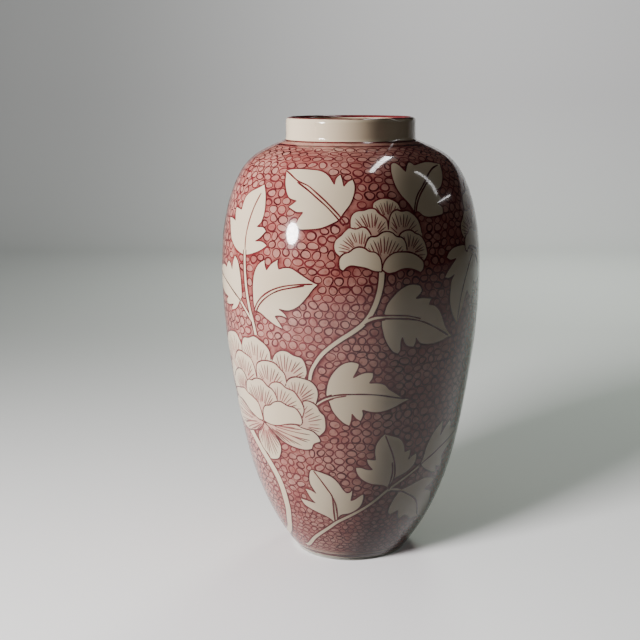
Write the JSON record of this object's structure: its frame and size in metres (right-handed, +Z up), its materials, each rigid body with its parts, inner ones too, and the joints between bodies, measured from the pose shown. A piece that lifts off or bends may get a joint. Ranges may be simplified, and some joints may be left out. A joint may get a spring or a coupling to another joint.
{
  "type": "porcelain vase",
  "caption": "Tall shouldered porcelain vase with a short upright neck, glossy glaze and painted flower decoration, open at the top and standing on a foot ring.",
  "frame": {"origin": "centre of the circle the foot ring stands on", "axes": "+Z up along the vase's axis; -Y faces the viewer of the main flower design, +X to the viewer's right"},
  "size_m": [0.176, 0.176, 0.3],
  "materials": {
    "painted_glaze": "iron-red overglaze painting of flowers and leaves on a bubbled ground, under a gloss",
    "ivory_glaze": "glossy ivory glaze",
    "bare_foot": "glazed outside, bare matt clay underneath"
  },
  "bodies": {
    "root": {"foot_ring": "bare_foot", "base_disc": "ivory_glaze", "lower_body": "painted_glaze", "upper_body": "painted_glaze", "neck_collar": "ivory_glaze"}
  },
  "joints": []
}
